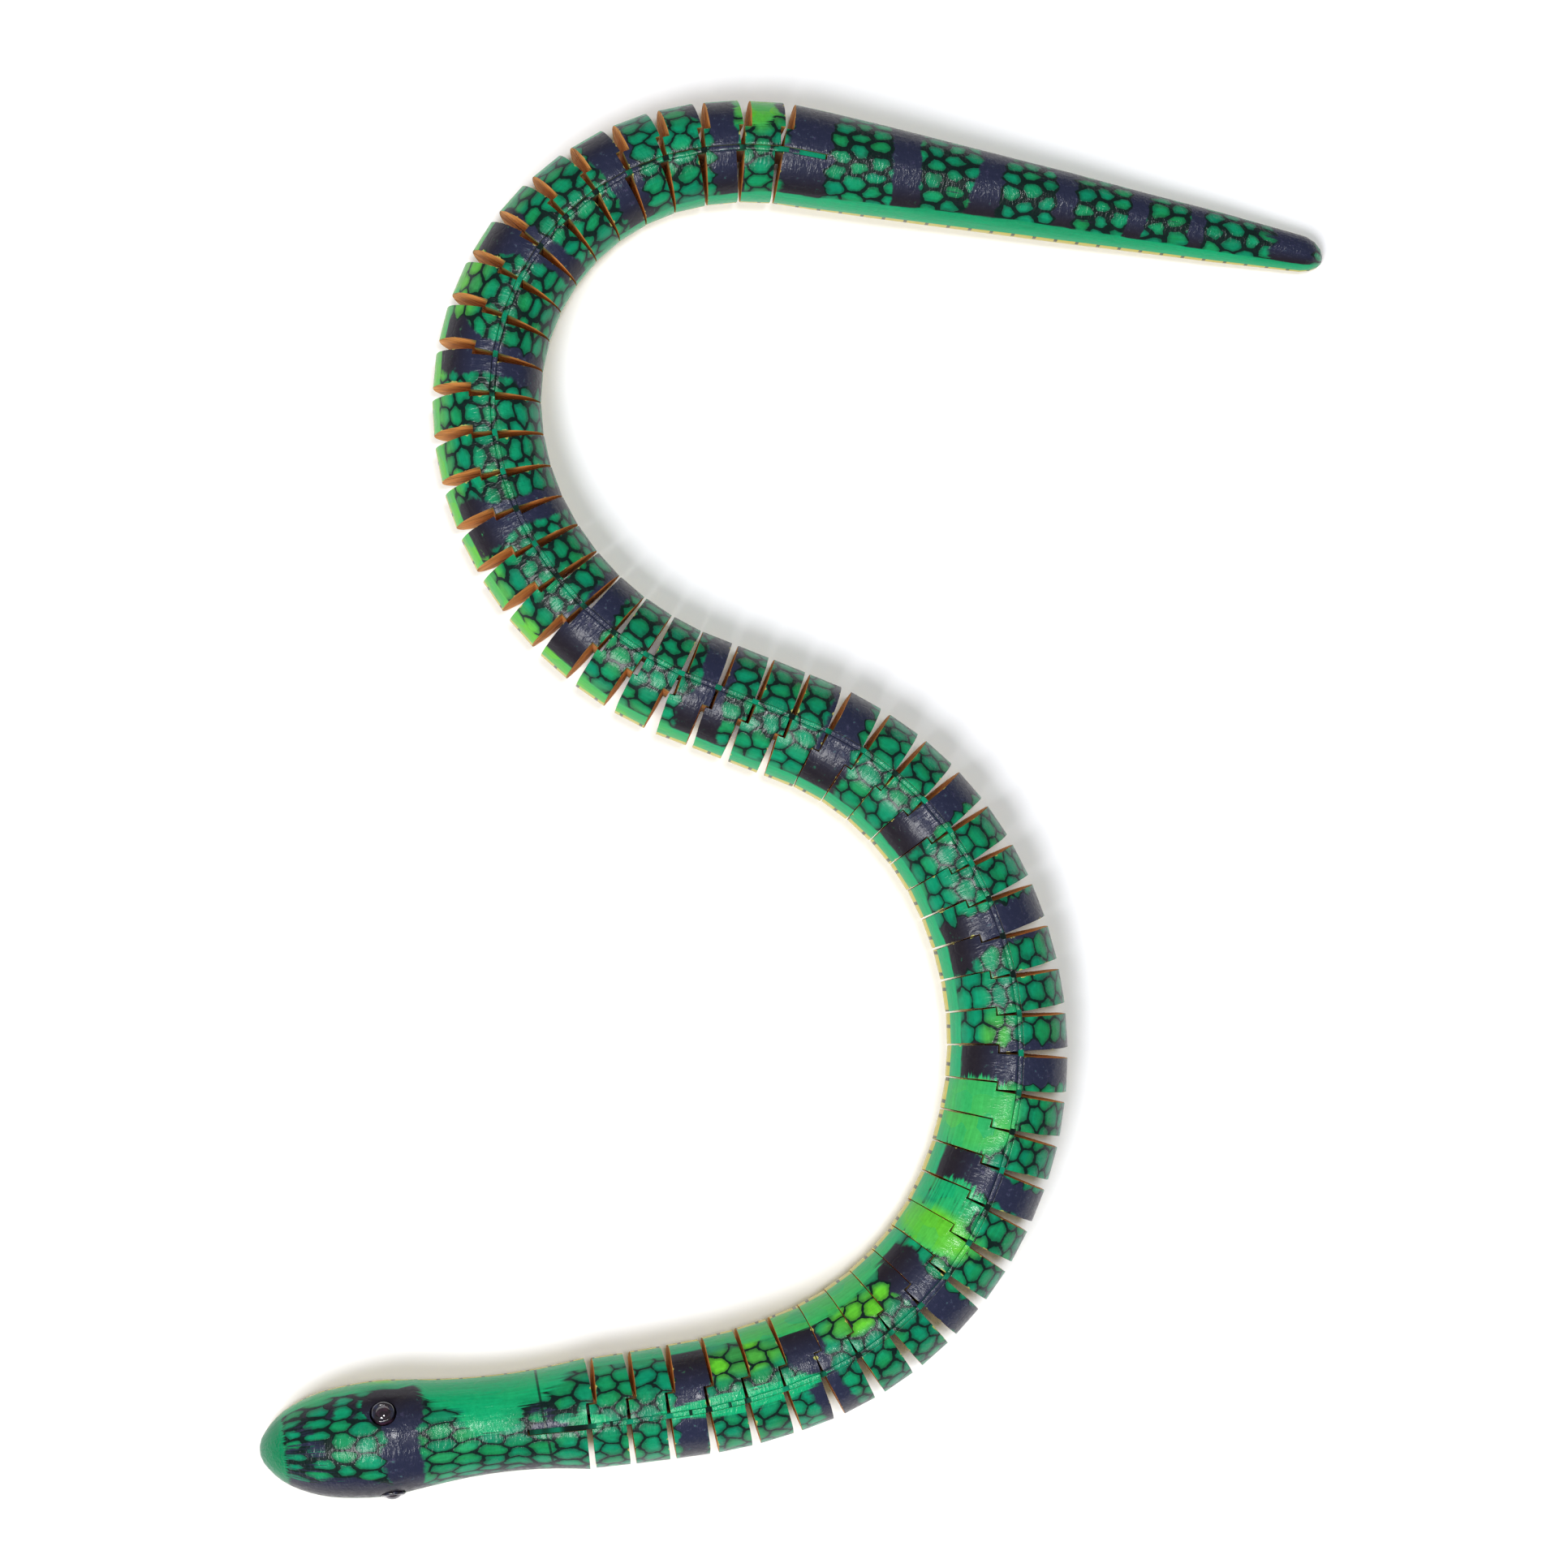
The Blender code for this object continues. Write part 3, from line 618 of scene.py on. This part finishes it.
def wall_places(kerf, y, z, radius):
    """Where the walls headward and tailward of a kerf stand at y and z, behind the kerf."""
    swap = min(1.0, max(0.0, (kerf / SEGMENTS - TURNOVER[0]) / (TURNOVER[1] - TURNOVER[0])))
    if y > WEB_LEFT:
        rim = WIDE_CUT + swap * (FINE_CUT - WIDE_CUT)
        root = LEFT_ROOT_CUT + swap * (FINE_CUT - LEFT_ROOT_CUT)
        half = (root + (rim - root) * (y - WEB_LEFT) / (radius - WEB_LEFT)) / 2.0
        middle = LEFT_STEP + rim / 2.0 + LEFT_LEAN * (z - KEEL * radius)
        return middle - half, middle + half
    if y > -STRIP_RIGHT:
        return -WEB_GAP / 2.0, WEB_GAP / 2.0
    return WEB_GAP / 2.0 - FINE_CUT - swap * (WIDE_CUT - FINE_CUT), WEB_GAP / 2.0


def lift_node(index):
    """The solid of one piece, its triangles merged, laid on the straight rod."""
    bm = bmesh.new()
    bm.from_mesh(frame["nodes"][body_names[index]].data)
    for layer in list(bm.loops.layers.uv):
        bm.loops.layers.uv.remove(layer)
    bmesh.ops.remove_doubles(bm, verts=bm.verts, dist=DOUBLES)
    bmesh.ops.dissolve_limit(bm, angle_limit=FLAT_FACE, verts=bm.verts, edges=bm.edges)
    bmesh.ops.transform(bm, matrix=straightened(index), verts=bm.verts)
    return bm


def sort_faces(bm, shape_at):
    """Skin faces get finish 0 and sawn or drilled ones finish 1; shape_at gives the girth."""
    for face in bm.faces:
        centre = face.calc_center_median()
        width, middle, height = shape_at(centre.x)
        out = Vector((0.0, centre.y / width, (centre.z - middle) / height))
        under = face.normal.z < -0.9 and centre.z < BELLY_HEIGHT
        skin = out.length > SKIN_REACH and face.normal.dot(out.normalized()) > SKIN_FACING
        face.material_index = 0 if skin or under else 1
        face.smooth = True


def paint_over(bm, start, end):
    """Blunt ends and drilled holes between start and end take the paint too."""
    for face in bm.faces:
        if start - PITCH < face.calc_center_median().x < end:
            face.material_index = 0


def skin_of(bm, under=True):
    """Faces that take paint, with or without the flat belly."""
    return [face for face in bm.faces if face.material_index == 0 and (under or face.normal.z > -0.98)]


def slice_skin(bm, places, normal):
    """Loops of edges across the skin, through each place, square to normal."""
    for place in places:
        faces = skin_of(bm)
        parts = set(faces)
        parts.update(edge for face in faces for edge in face.edges)
        parts.update(vert for face in faces for vert in face.verts)
        bmesh.ops.bisect_plane(bm, geom=list(parts), plane_co=place, plane_no=normal, dist=1e-6)


def round_the_skin(bm, start, end, shape_at):
    """Turn the planed facets to a round rod that lies just inside them."""
    low = Vector((start, 0.0, shape_at(start)[1]))
    high = Vector((end, 0.0, shape_at(end)[1]))
    axis = (high - low).normalized()
    facet = math.tau / FACETS
    for count in range(FACETS // 2 * FINE_TURNS):
        if count % FINE_TURNS == FINE_TURNS // 2:
            continue
        angle = facet * count / FINE_TURNS
        across = Vector((0.0, math.sin(angle), math.cos(angle)))
        slice_skin(bm, [(low + high) / 2.0], axis.cross(across).normalized())
    on_floor = {vert for vert in bm.verts if vert.co.z < FLOOR}
    outer = {vert for face in skin_of(bm, False) for vert in face.verts} - on_floor
    for vert in outer:
        width, middle, height = shape_at(vert.co.x)
        out = Vector((vert.co.y, vert.co.z - middle))
        reach = width * ROUNDED / out.length
        vert.co.y = out.x * reach
        vert.co.z = max(0.0, middle + out.y * reach)


def ease_edges(bm):
    """Round the rims of the cuts over, as handling leaves them."""
    rims = []
    for edge in bm.edges:
        finishes = {face.material_index for face in edge.link_faces}
        if finishes == {0, 1} and edge.calc_face_angle(0.0) > RIM_ANGLE:
            rims.append(edge)
    made = bmesh.ops.bevel(bm, geom=rims, offset=EDGE_ROUND, offset_type="OFFSET", segments=2,
                           profile=0.5, affect="EDGES", material=-1, clamp_overlap=True)
    bm.normal_update()
    for face in made["faces"]:
        face.smooth = True
        if abs(face.normal.x) < SAWN_FACING:
            face.material_index = 0


def write_places(bm, index, shape_at, over_brushed=0.0):
    """Write each point's place on the rod, in the bands, in the plan and from the cuts."""
    rod = bm.verts.layers.float_vector.new("rod")
    plan = bm.verts.layers.float_vector.new("plan")
    band = bm.verts.layers.float.new("band")
    edge = bm.verts.layers.float.new("edge")
    rows = bm.verts.layers.float.new("rows")
    roll = bm.verts.layers.float.new("roll")
    start = (index - 1) * PITCH
    for vert in bm.verts:
        x, y, z = vert.co
        width, middle, height = shape_at(x)
        place = Vector((x, y / width, (z - middle) / height))
        vert[rod] = place
        vert[roll] = math.radians(read_off(PAINT_ROLL, x))
        brushed, spring, dark = plan_at(x, math.atan2(place.y, place.z) + vert[roll])
        vert[plan] = Vector((max(brushed, over_brushed), spring, dark))
        vert[band] = read_off(band_table, x)
        from_cuts = FAR_FROM_CUTS
        if index > 0 and not over_brushed:
            from_cuts = min(from_cuts, x - start - wall_places(index - 1, y, z, width)[1])
        if index <= SEGMENTS and not over_brushed:
            from_cuts = min(from_cuts, start + PITCH + wall_places(index, y, z, width)[0] - x)
        vert[edge] = from_cuts
        vert[rows] = min(1.0, max(FEWEST_ROWS, width / FULL_GIRTH))
        if x < HEAD_ROWS_END:
            vert[rows] = HEAD_ROWS


def wander(bm, index):
    """Shake the sawn walls a little, and leave each piece sanded to its own girth."""
    start = (index - 1) * PITCH
    for vert in bm.verts:
        x, y, z = vert.co
        front = index > 0 and x < start + 0.45 * PITCH
        back = index <= SEGMENTS and x > start + 0.55 * PITCH
        if front or back:
            seed = index * 3.7 + (40.0 if front else 0.0)
            vert.co.x += SAW_WANDER * noise.noise(Vector((y * WANDER_SCALE, z * WANDER_SCALE, seed)))
    if 0 < index <= SEGMENTS:
        sanded = 1.0 - HAND_SANDING * (0.5 + 0.5 * noise.noise(Vector((index * 1.37, 0.0, 5.0))))
        bmesh.ops.scale(bm, verts=bm.verts, vec=(1.0, sanded, sanded))


def make_piece(bm, name, finishes, sharp_angle=None):
    """An object with its place in its mesh; edges past sharp_angle, in degrees, stay crisp."""
    mesh = bpy.data.meshes.new(name)
    bm.to_mesh(mesh)
    bm.free()
    own_normals = mesh.attributes.get("custom_normal")
    if own_normals:
        mesh.attributes.remove(own_normals)
    if sharp_angle is not None:
        mesh.set_sharp_from_angle(angle=math.radians(sharp_angle))
    for finish in finishes:
        mesh.materials.append(finish)
    piece = bpy.data.objects.new(name, mesh)
    scene.collection.objects.link(piece)
    return piece


def finish_wood(bm, index):
    """Lay the piece back in the S, and make it stand for its solid."""
    bmesh.ops.transform(bm, matrix=straightened(index).inverted(), verts=bm.verts)
    name = body_names[index]
    piece = make_piece(bm, f"painted_{name}", (scale_paint, raw_wood), 38.0)
    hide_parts(name)
    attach(piece, name)


def rod_shape(along):
    """Half width, middle height and half height of the rod."""
    radius = rod_radius(along)
    return radius, KEEL * radius, radius


for index in range(1, SEGMENTS + 1):
    start = (index - 1) * PITCH
    bm = lift_node(index)
    sort_faces(bm, rod_shape)
    round_the_skin(bm, start, start + PITCH, rod_shape)
    slice_skin(bm, [(start + PITCH * share, 0.0, 0.0) for share in SEGMENT_RINGS], (1.0, 0.0, 0.0))
    ease_edges(bm)
    write_places(bm, index, rod_shape)
    wander(bm, index)
    finish_wood(bm, index)


# ---------------------------------------------------------------------------
# Head and neck: carved from one piece of the same wood, with a blunt nose and no
# cut mouth. The paint covers the nose and runs into the two drilled eye holes.

HEAD_LENGTH = 0.0566
NOSE_END = -0.8 * HEAD_LENGTH        # the blunt nose lies ahead of this
HOLES_END = -0.2 * HEAD_LENGTH       # and the eye holes ahead of this
LEAST_GIRTH = 0.0008                 # so that a blunt tip isn't read as a point
RING_POINTS = 12                     # a ring with fewer points is a hole or a facet's end


def ring_table(bm):
    """Half width, middle height and half height at each full ring of points along a piece."""
    rings = {}
    for vert in bm.verts:
        rings.setdefault(round(vert.co.x, 5), []).append(vert.co.copy())
    table = []
    for along, points in sorted(rings.items()):
        if len(points) < RING_POINTS:
            continue
        wide = max(abs(point.y) for point in points)
        top = max(point.z for point in points)
        half = max(LEAST_GIRTH, (top - min(point.z for point in points)) / (1.0 + KEEL))
        table.append((along, (max(LEAST_GIRTH, wide), top - half, half)))
    return table


def shape_reader(table):
    """A function that reads a table of girths along a piece."""
    columns = [[(along, shape[part]) for along, shape in table] for part in range(3)]

    def shape_at(along):
        return tuple(read_off(column, along) for column in columns)
    return shape_at


bm = lift_node(0)
head_rings = ring_table(bm)
head_rings.append((0.0, rod_shape(0.0)))
head_shape = shape_reader(head_rings)
sort_faces(bm, head_shape)
paint_over(bm, -HEAD_LENGTH, NOSE_END)
ease_edges(bm)
paint_over(bm, -HEAD_LENGTH, HOLES_END)
write_places(bm, 0, head_shape)
finish_wood(bm, 0)

# ---------------------------------------------------------------------------
# Tail: the end of the rod, tapered by hand to a thumb-round tip and flat below
# like the rest, with the end of the strip glued into a short slot.

TAIL_LENGTH = 0.0994
TIP_START = ROD_LENGTH + 0.3 * TAIL_LENGTH
TAIL_SLICES = 40
TAIL_SHORTENED = 0.9994              # sanding took the tip back to this share


def round_table(bm):
    """A table of girths for a piece that is round above its flat belly."""
    radii = [(along, shape[0] / ROUNDED) for along, shape in ring_table(bm)]
    return [(along, (radius, KEEL * radius, radius)) for along, radius in radii]


bm = lift_node(SEGMENTS + 1)
tail_rings = [(ROD_LENGTH, rod_shape(ROD_LENGTH))] + round_table(bm)
tail_shape = shape_reader(tail_rings)
sort_faces(bm, tail_shape)
paint_over(bm, TIP_START, ROD_LENGTH + TAIL_LENGTH)
round_the_skin(bm, ROD_LENGTH, ROD_LENGTH + TAIL_LENGTH, tail_shape)
slice_gap = TAIL_LENGTH / TAIL_SLICES
slice_skin(bm, [(ROD_LENGTH + slice_gap * count, 0.0, 0.0) for count in range(1, TAIL_SLICES)],
           (1.0, 0.0, 0.0))
bmesh.ops.scale(bm, verts=bm.verts, vec=(TAIL_SHORTENED, 1.0, 1.0),
                space=Matrix.Translation((-ROD_LENGTH, 0.0, 0.0)))
ease_edges(bm)
write_places(bm, SEGMENTS + 1, tail_shape)
wander(bm, SEGMENTS + 1)
finish_wood(bm, SEGMENTS + 1)

# ---------------------------------------------------------------------------
# The strip that joins all the wood: a woven tape, set in glue in a slot sawn
# down the back before painting, so its top edge took the same paint. It is made
# here in one stretch for each kerf, which bends across that kerf.

TAPE_THICK = 0.00088
TAPE_BOTTOM = 0.0056
TAPE_SUNK = 0.00020                  # its top edge lies this far below the back
TAPE_BEND = 0.0008                   # half the stretch that bends at a kerf
TAPE_STEPS = 12
TAPE_ROUND = 0.0001                  # its long edges
TAPE_RIPPLE = 0.00006                # how far its top edge wanders up and down
RIPPLE_SCALE = 420.0
TAPE_TOP = 0.00015                   # depth of the top edge that took the brush
NECK_SLOT = 0.0103
TAIL_SLOT = 0.0077
CLOTH_BROWN = (0.180, 0.120, 0.055, 1.0)


def mix_tape():
    tape, tree, shader = new_finish("painted_tape")
    rod = parts_of(tree, attribute(tree, "rod", 1))
    along, depth = rod[0], rod[2]
    weave = stretched(tree, along, depth, 9000.0, 60.0)
    threads = add_node(tree, "TexWave", {"Vector": weave, "Scale": 1.0, "Distortion": 1.5}, 1)
    cloth = mix_colour(tree, threads, CLOTH_BROWN, WOOD_BROWN)
    streak = grain(tree, stretched(tree, along, depth, 160.0, 9.0), 1.0, 3.0)
    paint = mix_colour(tree, step_between(tree, streak, 0.40, 0.62), NET_DARK, TEAL)
    painted = step_between(tree, depth, 0.78, 0.86)
    tree.links.new(mix_colour(tree, painted, cloth, paint), shader.inputs["Base Color"])
    bump = add_node(tree, "Bump", {"Strength": 0.6, "Distance": 0.0001, "Height": threads})
    tree.links.new(bump, shader.inputs["Normal"])
    tree.links.new(step_between(tree, depth, 0.78, 0.86, 0.9, 0.42), shader.inputs["Roughness"])
    return tape


def strip_bed(along):
    """Girth of whatever wood the strip lies in there."""
    if along < 0.0:
        return head_shape(along)
    return rod_shape(along) if along < ROD_LENGTH else tail_shape(along)


painted_tape = mix_tape()
for kerf in range(SEGMENTS + 1):
    ahead = straightened(kerf).inverted()
    behind = straightened(kerf + 1).inverted()
    before = NECK_SLOT if kerf == 0 else PITCH / 2.0
    after = TAIL_SLOT if kerf == SEGMENTS else PITCH / 2.0
    radius = rod_radius(kerf * PITCH)
    top = radius * (KEEL + ROUNDED) - TAPE_SUNK
    bm = bmesh.new()
    bmesh.ops.create_cube(bm, size=1.0)
    bmesh.ops.scale(bm, verts=bm.verts, vec=(before + after, TAPE_THICK, top - TAPE_BOTTOM))
    middle_x = kerf * PITCH + (after - before) / 2.0
    bmesh.ops.translate(bm, verts=bm.verts, vec=(middle_x, -STRIP_RIGHT, (top + TAPE_BOTTOM) / 2.0))
    for step in range(1, TAPE_STEPS):
        place = (kerf * PITCH - before + (before + after) * step / TAPE_STEPS, 0.0, 0.0)
        parts = bm.verts[:] + bm.edges[:] + bm.faces[:]
        bmesh.ops.bisect_plane(bm, geom=parts, plane_co=place, plane_no=(1.0, 0.0, 0.0), dist=1e-6)
    long_rims = [edge for edge in bm.edges if edge.calc_face_angle(0.0) > 1.0
                 and abs(edge.verts[0].co.x - edge.verts[1].co.x) > 1e-5]
    bmesh.ops.bevel(bm, geom=long_rims, offset=TAPE_ROUND, offset_type="OFFSET", segments=2,
                    profile=0.5, affect="EDGES", material=-1)
    write_places(bm, kerf, rod_shape, BRUSHED_OVER)
    # Its top edge follows the carved neck and the tapering tail
    for vert in bm.verts:
        if vert.co.z > KEEL * radius:
            _, middle, height = strip_bed(vert.co.x)
            vert.co.z += middle + height * ROUNDED - TAPE_SUNK - top
    for face in bm.faces:
        centre = face.calc_center_median()
        in_wood = abs(centre.x - kerf * PITCH) > TAPE_BEND
        face.material_index = 1 if in_wood and centre.z > top - TAPE_TOP else 0
    for vert in bm.verts:
        ripple = noise.noise(Vector((vert.co.x * RIPPLE_SCALE, 0.0, 9.0)))
        vert.co.z += TAPE_RIPPLE * ripple if vert.co.z > KEEL * radius else 0.0
    # Ahead of the kerf it lies as the piece there does, and turns over a short bend
    for vert in bm.verts:
        past = (vert.co.x - kerf * PITCH) / TAPE_BEND * 0.5 + 0.5
        past = min(1.0, max(0.0, past))
        share = past * past * (3.0 - 2.0 * past)
        vert.co = (ahead @ vert.co).lerp(behind @ vert.co, share)
    for face in bm.faces:
        face.smooth = True
    stretch = make_piece(bm, f"tape_{kerf + 1:02d}", (painted_tape, scale_paint), 50.0)
    if kerf == 0:
        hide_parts("spine_strip")
    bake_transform(stretch)

# ---------------------------------------------------------------------------
# Eyes: two polished black beads pressed into drilled holes, each in a bead of
# paint and lacquer that pooled round it.

BEAD_BLACK = (0.012, 0.008, 0.012, 1.0)
BEAD_PURPLE = (0.045, 0.018, 0.035, 1.0)
POOL_WIDTH = 0.00042
POOL_SINK = 0.0001
POOL_LUMPS = 0.03                    # how uneven the pooled ring is
LUMP_SCALE = 1400.0
POOL_FLAT = 0.7                      # the pooled ring's height, as a share of its width
BEAD_WORN = 0.995                    # a polished bead, as a share of its solid
LEAST_RING = 0.6                     # the ring's least radius, as a share of the bead's


def polish_bead():
    bead, tree, shader = new_finish("polished_bead")
    place = add_node(tree, "TexCoord", {}, 3)
    cloud = grain(tree, place, 900.0, 3.0)
    tree.links.new(mix_colour(tree, step_between(tree, cloud, 0.4, 0.65), BEAD_BLACK, BEAD_PURPLE),
                   shader.inputs["Base Color"])
    scuff = grain(tree, place, 2600.0, 2.0)
    tree.links.new(step_between(tree, scuff, 0.45, 0.75, 0.06, 0.22), shader.inputs["Roughness"])
    bump = add_node(tree, "Bump", {"Strength": 0.15, "Distance": 0.00005, "Height": scuff})
    tree.links.new(bump, shader.inputs["Normal"])
    shader.inputs["Coat Weight"].default_value = 1.0
    shader.inputs["Coat Roughness"].default_value = 0.04
    return bead


def pool_paint():
    pool, tree, shader = new_finish("pooled_paint")
    place = add_node(tree, "TexCoord", {}, 3)
    cloud = grain(tree, place, 700.0, 3.0)
    tree.links.new(mix_colour(tree, step_between(tree, cloud, 0.45, 0.70), PITCH_BLACK, NAVY),
                   shader.inputs["Base Color"])
    tree.links.new(step_between(tree, cloud, 0.3, 0.7, 0.15, 0.35), shader.inputs["Roughness"])
    bump = add_node(tree, "Bump", {"Strength": 0.4, "Distance": 0.0001, "Height": cloud})
    tree.links.new(bump, shader.inputs["Normal"])
    shader.inputs["Coat Weight"].default_value = 0.8
    shader.inputs["Coat Roughness"].default_value = 0.10
    return pool


bead_polish = polish_bead()
pooled_paint = pool_paint()
for name in ("left_eye", "right_eye"):
    low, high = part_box(name)
    centre = (low + high) / 2.0
    radius = (high.z - low.z) / 2.0
    on_rod = straightened(0) @ centre
    width, middle, height = head_shape(on_rod.x)
    out = Vector((0.0, on_rod.y, on_rod.z - middle))
    sunk = width - out.length
    out = (straightened(0).inverted().to_3x3() @ out).normalized()
    turn = out.to_track_quat("Z", "Y").to_matrix().to_4x4()
    bm = bmesh.new()
    bmesh.ops.create_uvsphere(bm, u_segments=48, v_segments=32, radius=radius * BEAD_WORN)
    bmesh.ops.transform(bm, matrix=Matrix.Translation(centre) @ turn, verts=bm.verts)
    for face in bm.faces:
        face.smooth = True
    bead = make_piece(bm, f"bead_{name}", (bead_polish,))
    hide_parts(name)
    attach(bead, "head")

    # Ring of pooled paint, spun round the bead where it leaves the wood
    ring_radius = math.sqrt(max(radius ** 2 - sunk ** 2, (LEAST_RING * radius) ** 2)) + POOL_WIDTH * 0.4
    bm = bmesh.new()
    bmesh.ops.create_circle(bm, segments=12, radius=POOL_WIDTH)
    bmesh.ops.scale(bm, verts=bm.verts, vec=(1.0, POOL_FLAT, 1.0))
    bmesh.ops.rotate(bm, verts=bm.verts, matrix=Matrix.Rotation(math.pi / 2.0, 3, "X"))
    bmesh.ops.translate(bm, verts=bm.verts, vec=(ring_radius, 0.0, sunk - POOL_SINK))
    bmesh.ops.spin(bm, geom=bm.verts[:] + bm.edges[:], axis=(0.0, 0.0, 1.0), cent=(0.0, 0.0, 0.0),
                   angle=math.tau, steps=40, use_merge=True)
    bmesh.ops.remove_doubles(bm, verts=bm.verts, dist=1e-6)
    bmesh.ops.recalc_face_normals(bm, faces=bm.faces)
    for vert in bm.verts:
        vert.co *= 1.0 + POOL_LUMPS * noise.noise(vert.co * LUMP_SCALE)
    bmesh.ops.transform(bm, matrix=Matrix.Translation(centre) @ turn, verts=bm.verts)
    for face in bm.faces:
        face.smooth = True
    pool = make_piece(bm, f"paint_pool_{name}", (pooled_paint,))
    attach(pool, "head")
